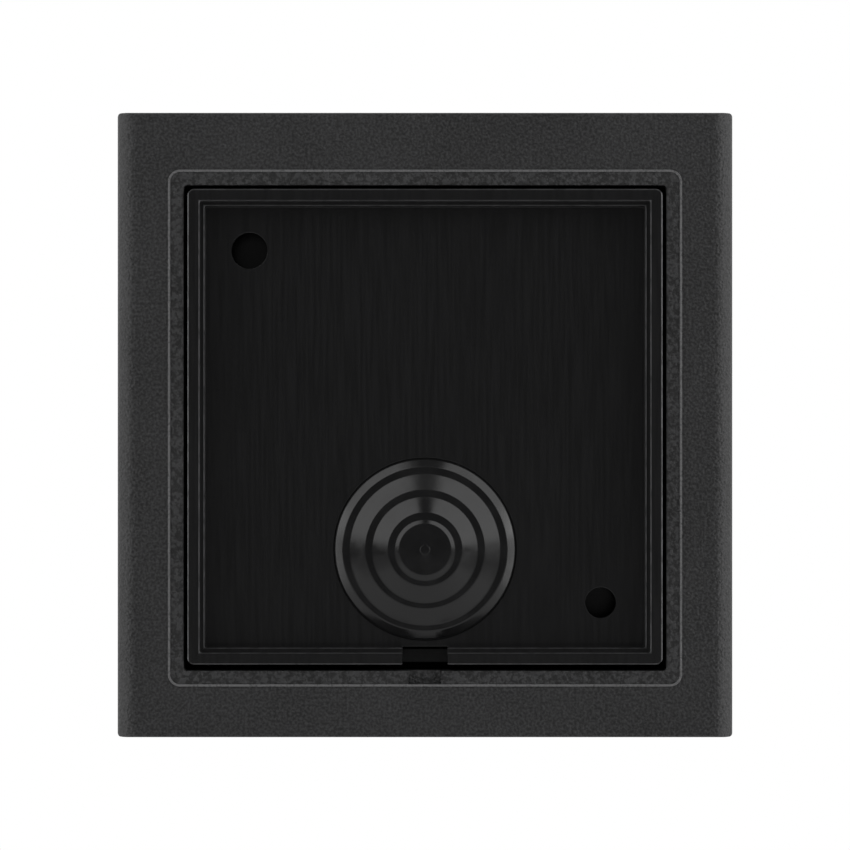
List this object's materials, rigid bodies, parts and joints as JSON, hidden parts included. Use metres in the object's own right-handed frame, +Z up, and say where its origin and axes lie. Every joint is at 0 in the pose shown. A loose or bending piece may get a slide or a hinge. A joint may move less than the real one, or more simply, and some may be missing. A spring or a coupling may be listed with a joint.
{
  "type": "door intercom panel",
  "caption": "Square surface-mounted door intercom panel: a textured housing that pulls off a wall plate with a stepped cable grommet, with a camera, speaker, microphone and call button.",
  "frame": {"origin": "middle of the plane where the wall plate's lip rests on the wall", "axes": "+X to the right seen from the wall side, +Y away from the wall to the front, +Z up"},
  "size_m": [0.09, 0.035, 0.091],
  "materials": {
    "textured_housing": "fine textured matt black",
    "smooth_black": "smooth satin black",
    "grommet_rubber": "glossy black",
    "seal_rubber": "matt black",
    "front_metal": "brushed, anodised dark grey",
    "window_clear": "smoked, polished",
    "name_clear": "clear, polished",
    "lens_glass": "coated, polished",
    "gloss_black": "polished",
    "light_diffuser": "frosted",
    "light_chip": "clear resin",
    "button_metal": "satin",
    "symbol_white": "satin",
    "screw_steel": "zinc plated",
    "spring_steel": "bright",
    "speaker_steel": "plated",
    "magnet": "plated",
    "cone_paper": "treated paper",
    "cloth": "fine weave",
    "board_green": "solder mask",
    "parts_black": "moulded",
    "terminal_green": "moulded",
    "trimmer_blue": "moulded",
    "rotor_white": "moulded",
    "lead_red": "insulated",
    "lead_grey": "insulated",
    "card": "paper",
    "can_metal": "drawn"
  },
  "bodies": {
    "wall_plate": {"mounting_plate": "smooth_black", "cable_grommet": "grommet_rubber"},
    "station": {"housing": "textured_housing", "fascia_seal": "seal_rubber", "fascia": "smooth_black", "fascia_screws": "screw_steel", "front_plate": "front_metal", "camera_window": "window_clear", "camera_bezel": "gloss_black", "camera_bracket": "parts_black", "camera_lights": "light_chip", "speaker_cloth": "cloth", "speaker_gasket": "seal_rubber", "speaker_frame": "speaker_steel", "speaker_cone": "cone_paper", "speaker_magnet": "magnet", "speaker_leads": "lead_red", "microphone_boot": "seal_rubber", "microphone": "can_metal", "microphone_leads": "lead_grey", "button_switch": "parts_black", "button_spring": "spring_steel", "light_ring": "light_diffuser", "name_window": "name_clear", "name_card": "card", "status_lights": "light_diffuser", "main_board": "board_green", "board_parts": "parts_black", "rear_cover": "smooth_black", "rear_cover_seal": "seal_rubber", "cover_screws": "screw_steel", "terminal_block": "terminal_green", "terminal_screws": "screw_steel", "trimmer_base": "trimmer_blue"},
    "camera": {"camera_cradle": "parts_black", "camera_board": "board_green", "camera_lens": "gloss_black", "camera_lens_glass": "lens_glass"},
    "button": {"call_button": "button_metal", "button_symbol": "symbol_white", "switch_plunger": "rotor_white"},
    "volume_rotor": {"trimmer_rotor": "rotor_white"},
    "lock": {"lock_screw": "screw_steel"}
  },
  "joints": [
    {"name": "station_slide", "type": "slide", "parent": "wall_plate", "child": "station", "axis": [0, 1, 0], "range_m": [0, 0.025]},
    {"name": "camera_tilt", "type": "hinge", "parent": "station", "child": "camera", "pos_m": [0.018, 0.024, 0.018], "axis": [1, 0, 0], "range_deg": [-8, 8]},
    {"name": "call_press", "type": "slide", "parent": "station", "child": "button", "axis": [0, -1, 0], "range_m": [0, 0.0012], "stiffness_N_per_m": 800, "springref_m": -0.0006, "deforming": ["button_spring"]},
    {"name": "volume_turn", "type": "hinge", "parent": "station", "child": "volume_rotor", "pos_m": [0.02, 0.0131, 0.009], "axis": [0, 1, 0], "range_deg": [-135, 135]},
    {"name": "lock_advance", "type": "slide", "parent": "station", "child": "lock", "axis": [0, 0, 1], "range_m": [0, 0.0034]}
  ]
}
